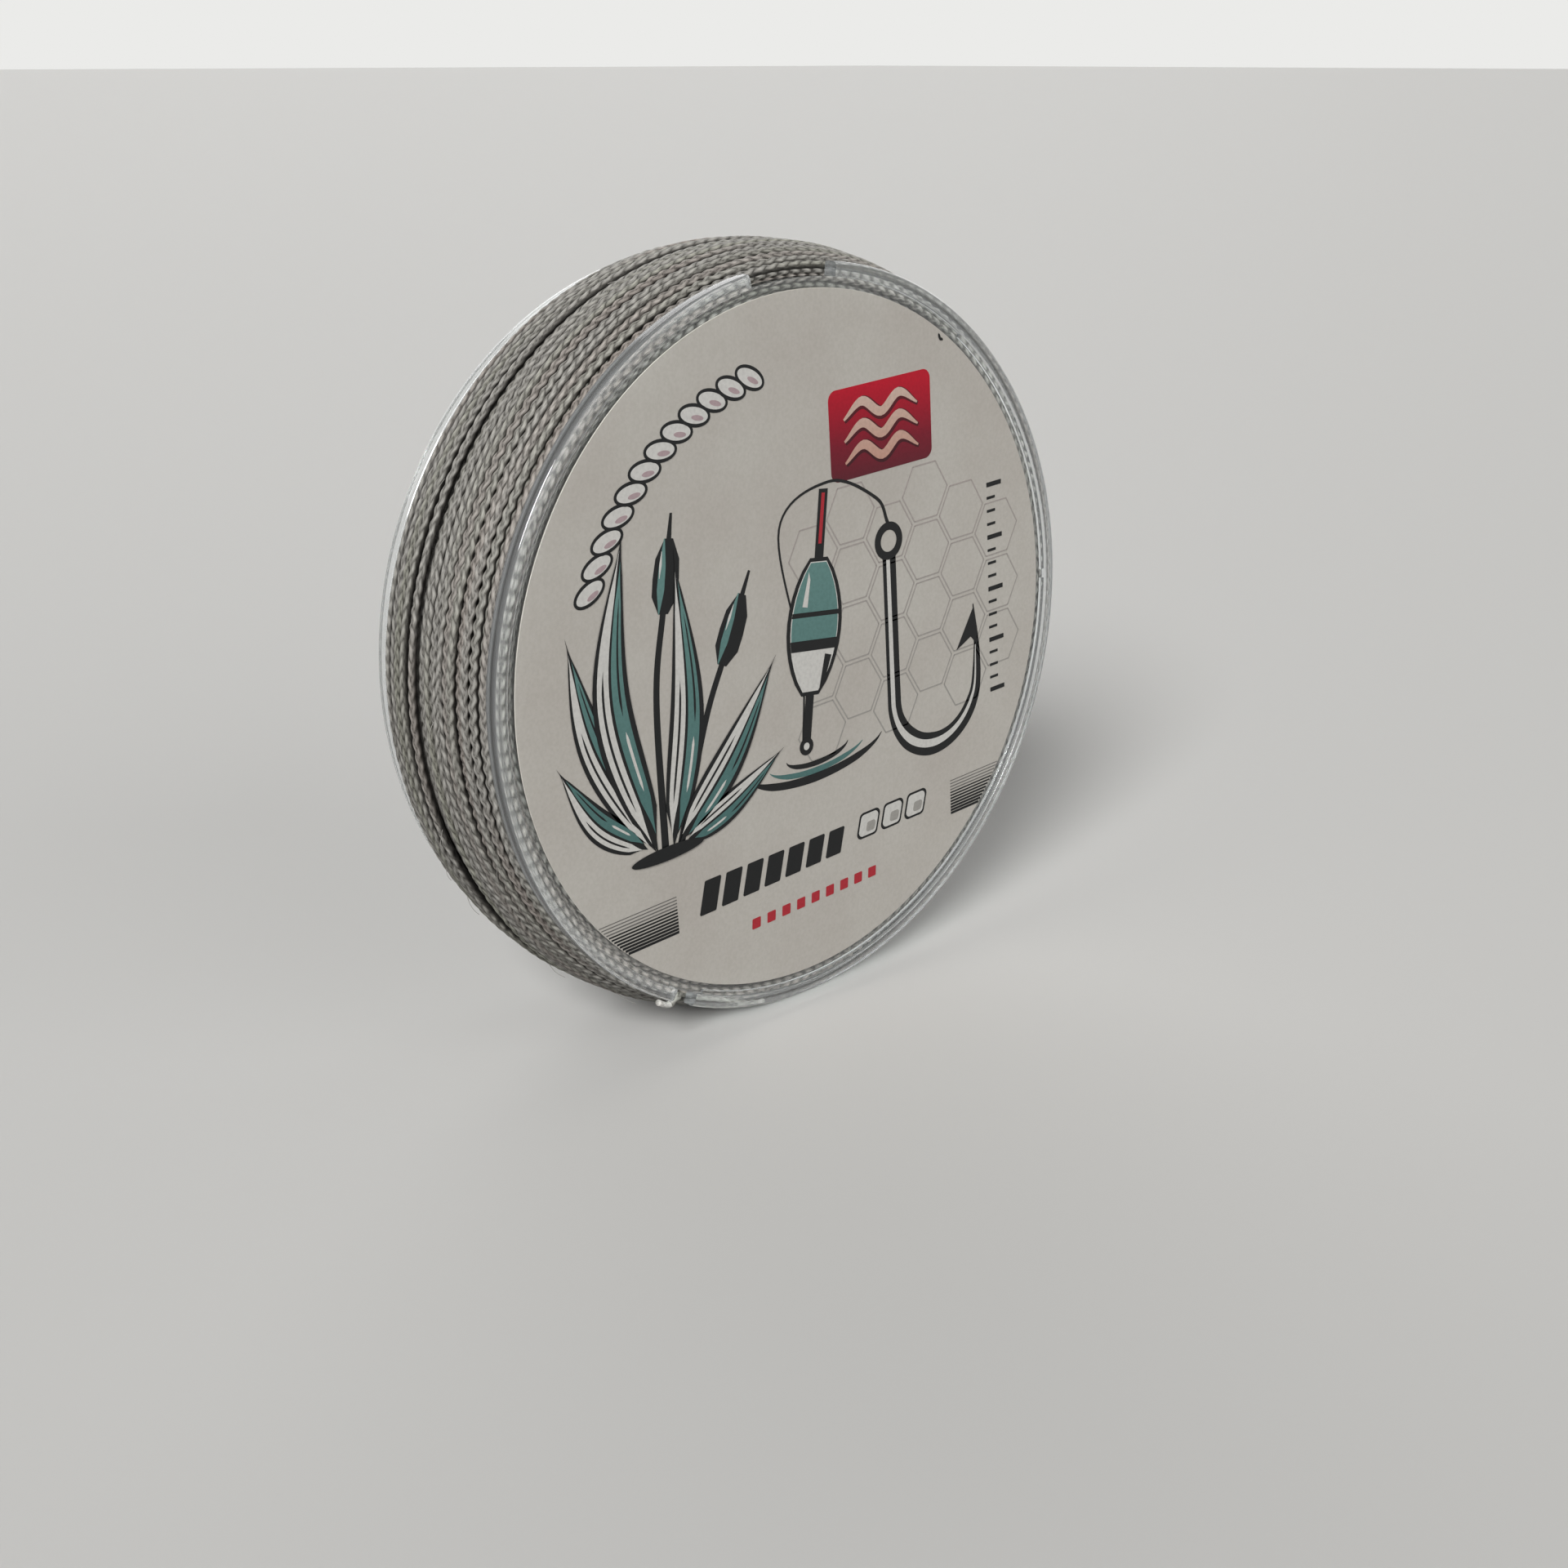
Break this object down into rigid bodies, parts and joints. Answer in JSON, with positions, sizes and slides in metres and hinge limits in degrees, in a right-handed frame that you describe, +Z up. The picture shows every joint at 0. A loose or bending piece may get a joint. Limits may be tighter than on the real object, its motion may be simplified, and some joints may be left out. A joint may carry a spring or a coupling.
{
  "type": "fishing line spool",
  "caption": "Clear moulded spool on its edge, brim-full of braided line, with a round paper label on the front and an open hub with a spindle bore behind.",
  "frame": {"origin": "middle of the spindle bore, on the spool's axle halfway between its two rims", "axes": "+Y along the axle from the label side to the open hub, +Z up with the spool standing on its edge, +X to the right as the label is read"},
  "size_m": [0.0788, 0.0194, 0.0787],
  "materials": {
    "clear_plastic": "clear moulded polystyrene, polished",
    "label_paper": "matt printed paper",
    "tape": "thin adhesive tape",
    "braided_line": "grey four-strand polyethylene braid",
    "line_tip": "cut end of the braid, pale and slightly frayed"
  },
  "bodies": {
    "root": {"front_flange": "clear_plastic", "rear_flange": "clear_plastic", "drum": "clear_plastic", "spindle_tube": "clear_plastic", "hub_ribs": "clear_plastic", "front_label": "label_paper", "start_tape": "tape", "line_core": "braided_line", "line_turns": "braided_line", "line_end": "line_tip"}
  },
  "joints": []
}
